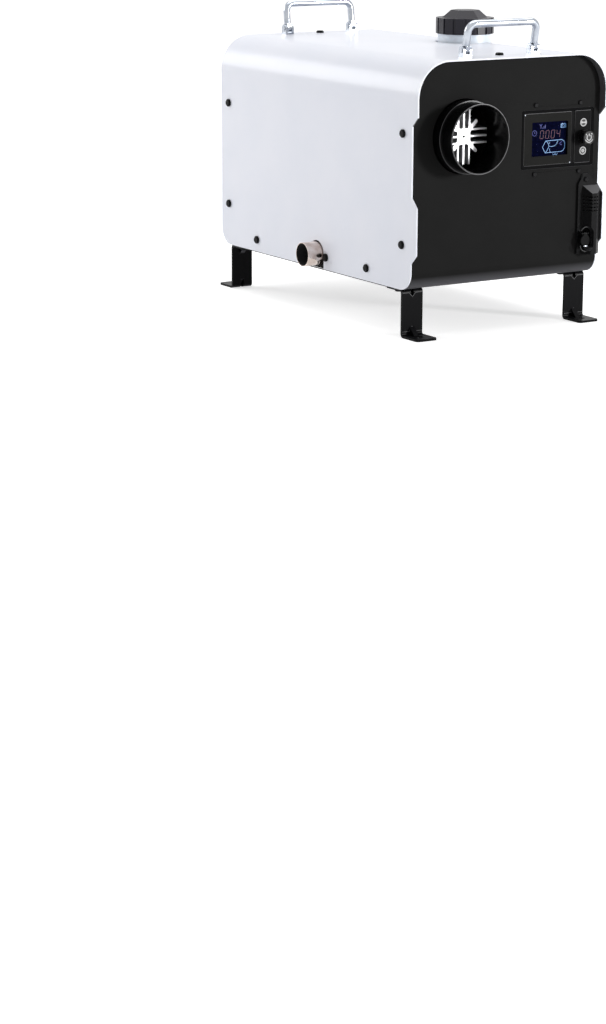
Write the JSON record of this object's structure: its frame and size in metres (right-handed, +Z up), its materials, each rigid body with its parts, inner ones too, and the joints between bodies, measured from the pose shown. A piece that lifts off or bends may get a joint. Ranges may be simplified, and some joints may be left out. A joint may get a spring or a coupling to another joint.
{
  "type": "diesel air heater",
  "caption": "Portable box-shaped air heater with a sheet-metal hood, folding handles, bracket legs, round air outlet, display controller and fuel filler.",
  "frame": {"origin": "centre of the four foot holes, on the surface the feet stand on", "axes": "+Z up, the front with the outlet and the controller faces -Y, +X is to the right seen from the front"},
  "size_m": [0.2716, 0.4475, 0.3372],
  "materials": {
    "white_paint": "satin powder coat",
    "black_paint": "matte powder coat",
    "black_steel": "black oxide",
    "zinc": "bright zinc plate",
    "steel": "plain bright steel",
    "cast_aluminium": "as cast",
    "white_plastic": "moulded polyethylene",
    "black_plastic": "moulded",
    "inner_plastic": "moulded",
    "window": "tinted clear",
    "screen": "lit panel",
    "board": "circuit board",
    "rubber": "hose",
    "gasket": "heat-proof gasket",
    "spring_steel": "stamped",
    "socket_grey": "moulded"
  },
  "bodies": {
    "housing": {"cover": "white_paint", "chassis": "black_paint", "cover_screws": "black_steel", "leg_front_left": "black_paint", "leg_front_right": "black_paint", "leg_rear_left": "black_paint", "leg_rear_right": "black_paint", "leg_screws": "black_steel", "leg_nuts": "spring_steel", "handle_lugs": "zinc", "handle_pins": "zinc", "handle_nuts": "spring_steel", "duct_outlet": "black_plastic", "core_case_upper": "inner_plastic", "core_case_lower": "inner_plastic", "heat_exchanger": "cast_aluminium", "burner": "steel", "glow_plug": "steel", "blower_housing": "cast_aluminium", "motor": "spring_steel", "control_unit": "inner_plastic", "overheat_sensor": "steel", "base_gasket": "gasket", "heater_shelf": "spring_steel", "shelf_screws": "spring_steel", "exhaust_pipe": "steel", "exhaust_clamp": "spring_steel", "burner_air_pipe": "rubber", "burner_air_silencer": "black_plastic", "intake_grille": "black_plastic", "grille_screws": "black_steel", "fuel_tank": "white_plastic", "tank_strap": "spring_steel", "fuel_filter": "white_plastic", "fuel_pump": "spring_steel", "pump_mount": "rubber", "tank_hose": "rubber", "suction_hose": "rubber", "pressure_hose": "rubber", "controller_bezel": "black_plastic", "front_screws": "black_steel", "controller_window": "window", "controller_display": "screen", "controller_board": "board", "socket_housing": "black_plastic", "socket": "socket_grey", "socket_lid_pin": "spring_steel"},
    "handle_front": {"handle_front": "zinc"},
    "handle_rear": {"handle_rear": "zinc"},
    "cap_liner": {"cap_liner": "rubber"},
    "fuel_cap": {"fuel_cap": "black_plastic"},
    "rotor": {"rotor_shaft": "steel", "air_impeller": "inner_plastic", "burner_wheel": "inner_plastic"},
    "button_upper": {"button_upper": "black_plastic"},
    "button_lower": {"button_lower": "black_plastic"},
    "encoder": {"encoder_plunger": "spring_steel"},
    "knob": {"knob_shaft": "spring_steel", "power_knob": "black_plastic"},
    "socket_lid": {"socket_lid": "socket_grey"}
  },
  "joints": [
    {"name": "handle_front_fold", "type": "hinge", "parent": "housing", "child": "handle_front", "pos_m": [0, -0.183, 0.305], "axis": [1, 0, 0], "range_deg": [-102, 78]},
    {"name": "handle_rear_fold", "type": "hinge", "parent": "housing", "child": "handle_rear", "pos_m": [0, 0.183, 0.305], "axis": [1, 0, 0], "range_deg": [-82, 98]},
    {"name": "cap_lift", "type": "slide", "parent": "housing", "child": "cap_liner", "axis": [0, 0, 1], "range_m": [0, 0.018]},
    {"name": "cap_turn", "type": "hinge", "parent": "cap_liner", "child": "fuel_cap", "pos_m": [0.075, -0.0105, 0.318], "axis": [0, 0, 1], "range_deg": [0, 1080]},
    {"name": "button_upper_press", "type": "slide", "parent": "housing", "child": "button_upper", "axis": [0, 1, 0], "range_m": [0, 0.0008], "stiffness_N_per_m": 1500, "springref_m": -0.0006},
    {"name": "button_lower_press", "type": "slide", "parent": "housing", "child": "button_lower", "axis": [0, 1, 0], "range_m": [0, 0.0008], "stiffness_N_per_m": 1500, "springref_m": -0.0006},
    {"name": "knob_press", "type": "slide", "parent": "housing", "child": "encoder", "axis": [0, 1, 0], "range_m": [0, 0.0006], "stiffness_N_per_m": 2500, "springref_m": -0.0006},
    {"name": "knob_turn", "type": "hinge", "parent": "encoder", "child": "knob", "pos_m": [0.102, -0.2075, 0.2065], "axis": [0, 1, 0], "continuous": true},
    {"name": "socket_lid_open", "type": "hinge", "parent": "housing", "child": "socket_lid", "pos_m": [0.102, -0.2105, 0.1003], "axis": [-1, 0, 0], "range_deg": [0, 100], "stiffness_Nm_per_rad": 0.0005, "springref_deg": -28.65},
    {"name": "blower_spin", "type": "hinge", "parent": "housing", "child": "rotor", "pos_m": [-0.0583, 0, 0.2156], "axis": [0, 1, 0], "continuous": true}
  ],
  "couplings": [
    {"joint": "cap_lift", "follows": "cap_turn", "m_per_rad": 0.00095493}
  ]
}
